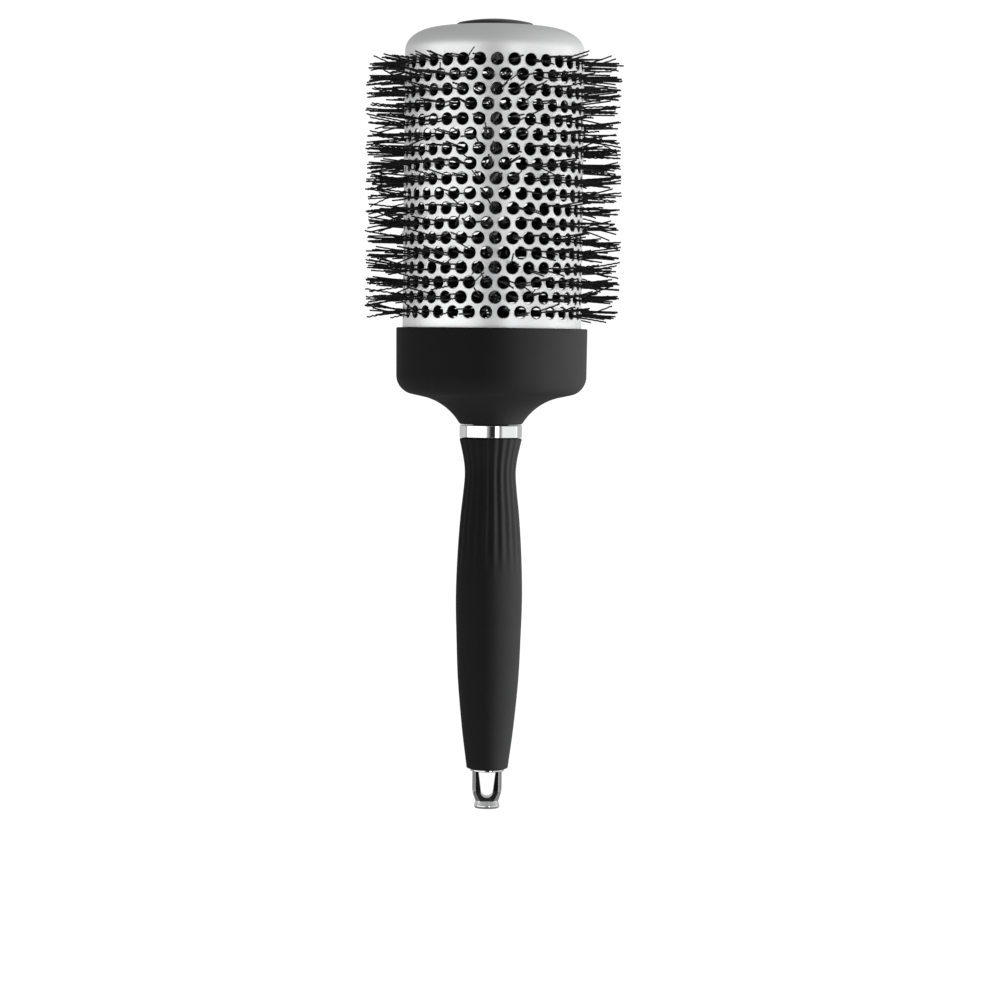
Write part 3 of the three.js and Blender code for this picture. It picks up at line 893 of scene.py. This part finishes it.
def make_pick():
    """The carved loop with its plate and boss, and the rod that is stored in the handle."""
    blank = loose("loop_blank", make_loop_sides())
    foot = loose("foot_blank", make_loop_foot())
    eye = loose("eye_blank", eye_cutter())
    carve(blank, foot, "UNION")
    carve(blank, eye, "DIFFERENCE")
    carved = blank.evaluated_get(bpy.context.evaluated_depsgraph_get())
    bm = bmesh.new()
    bm.from_mesh(carved.to_mesh())
    for used in (blank, foot, eye):
        bpy.data.objects.remove(used)
    socket_r = SHAFT_R + SOCKET_GAP
    plate = [
        (0, PLATE_Z[0]), (PLATE_R, PLATE_Z[0]), (PLATE_R, PLATE_Z[1]), (BOSS_R, PLATE_Z[1]),
        (BOSS_R, LOOP_TOP_Z), (socket_r, LOOP_TOP_Z), (socket_r, SOCKET_Z), (0, SOCKET_Z),
    ]
    spin_outline(bm, plate, 96, closed=False)
    bmesh.ops.remove_doubles(bm, verts=bm.verts, dist=1e-4)
    bmesh.ops.recalc_face_normals(bm, faces=bm.faces)
    sharp = 40.0
    loop = piece("pick_stirrup", bm, CHROME, "pick", ["pick_loop"], sharp)
    edges = loop.modifiers.new("edges", "BEVEL")
    edges.width = 0.16 * MM
    edges.segments = 3
    edges.limit_method = "ANGLE"
    edges.angle_limit = math.radians(sharp)
    loop.modifiers.new("even", "WEIGHTED_NORMAL")

    foot_z, top_z = heights("pick_shaft")
    tip = arc(SHAFT_R - SHAFT_TIP_R, top_z - SHAFT_TIP_R, SHAFT_TIP_R, 0, 90, 6)
    rod = [(0, foot_z), (SHAFT_R, foot_z), *tip, (0, top_z)]
    piece("pick_rod", turned(rod, 48, closed=False), STEEL, "pick", ["pick_shaft"])


def dress(finish, *nodes):
    """Gives CAD nodes that stay in view their finish."""
    for node in nodes:
        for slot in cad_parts[node].material_slots:
            slot.material = finish


make_barrel()
make_end_cap()
make_bristles()
make_core_wire("core_wire_a", 0.0)
make_core_wire("core_wire_b", math.pi)
make_collar()
make_trim_ring()
make_grip()
make_pick()
dress(MOULDED, "barrel_seat", "core_tube", "pick_guide")
dress(STEEL, "top_crimp", "tail_crimp", "pick_stop")
dress(RUBBER, "friction_ring")


# ---------------------------------------------------------------- studio

# The studio is in metres. The floor lies low, so that the pick has room to slide out.
FLOOR_DROP = 0.11
FLOOR_R = 0.45
CAMERA_DISTANCE = 1.2
CAMERA_HEIGHT = 0.169
CAMERA_RIGHT = 0.00365
AIM_HEIGHT = 0.1128
VIEW_WIDTH = 0.3641
SENSOR = 36.0
ROLL = math.radians(0.63)

# Brightness of the surroundings round the brush, by the angle to the right of its front.
SURROUNDINGS = [
    (-180, 0.5), (-106, 0.62), (-103, 0.12), (-101, 0.12), (-98, 1.5), (-18, 1.6), (-13, 0.5),
    (-3, 0.12), (0, 0.01), (16, 0.01), (19, 3.0), (29, 3.0), (32, 0.3), (40, 0.3), (44, 0.94),
    (104, 0.96), (110, 1.2), (114, 1.2), (118, 0.55), (180, 0.5),
]
BRIGHTEST = max(level for angle, level in SURROUNDINGS)
OVERHEAD = 0.36
OVERHEAD_Z = (-0.09, 0.42)
SOFT_LIGHT_LOSS = 0.48
BACKDROP = 1.05
KEY_SPOT = (1.1, 0.0, 0.25)
KEY_SIZE = (0.4, 0.8)
KEY_POWER = 61.0


def make_floor():
    bm = bmesh.new()
    bmesh.ops.create_circle(bm, cap_ends=True, radius=FLOOR_R, segments=96)
    bmesh.ops.translate(bm, vec=(0, 0, -FLOOR_DROP), verts=bm.verts)
    floor = loose("studio_floor", bm)
    floor.data.materials.append(FLOOR)


def make_surroundings():
    """White studio walls with the dark gaps between the light panels, dimmer overhead."""
    world = bpy.data.worlds.new("studio")
    bpy.context.scene.world = world
    world.use_nodes = True
    light = Finish(world.node_tree)
    way = light.node("ShaderNodeTexCoord", out="Generated")
    x, y, z = light.split(way)
    stops = [(angle / 360 + 0.5, level / BRIGHTEST) for angle, level in SURROUNDINGS]
    panels = light.node("ShaderNodeValToRGB", {"stops": stops}, {0: light.turn(x, y) + 0.5})
    overhead = z.between(*OVERHEAD_Z)
    brightness = panels * BRIGHTEST * (1 - overhead) + OVERHEAD * overhead
    seen = light.node("ShaderNodeLightPath", out="Is Camera Ray")
    soft = light.node("ShaderNodeLightPath", out="Is Diffuse Ray")
    background = world.node_tree.nodes["Background"]
    strength = brightness * (1 - soft * SOFT_LIGHT_LOSS) * (1 - seen) + seen * BACKDROP
    light.feed(background.inputs["Strength"], strength)
    background.inputs["Color"].default_value = grey(1.0)


def make_panel(name, spot, size, power):
    light = bpy.data.lights.new(name, "AREA")
    light.shape = "RECTANGLE"
    light.size, light.size_y = size
    light.energy = power
    lamp = bpy.data.objects.new(name, light)
    bpy.context.collection.objects.link(lamp)
    lamp.visible_glossy = False
    aim = Vector((0, 0, AIM_HEIGHT)) - Vector(spot)
    facing = aim.to_track_quat("-Z", "Y").to_matrix().to_4x4()
    lamp.matrix_world = Matrix.Translation(spot) @ facing


def make_camera():
    camera = bpy.data.cameras.new("camera")
    camera.sensor_width = SENSOR
    camera.lens = SENSOR * CAMERA_DISTANCE / VIEW_WIDTH
    stand = bpy.data.objects.new("camera", camera)
    bpy.context.collection.objects.link(stand)
    pitch = math.atan2(CAMERA_HEIGHT - AIM_HEIGHT, CAMERA_DISTANCE)
    stand.matrix_world = (Matrix.Translation((CAMERA_RIGHT, -CAMERA_DISTANCE, CAMERA_HEIGHT))
                          @ Matrix.Rotation(math.pi / 2 - pitch, 4, "X")
                          @ Matrix.Rotation(ROLL, 4, "Z"))
    bpy.context.scene.camera = stand


make_floor()
make_surroundings()
make_panel("key_panel", KEY_SPOT, KEY_SIZE, KEY_POWER)
make_camera()
bpy.context.scene.view_settings.view_transform = "Standard"
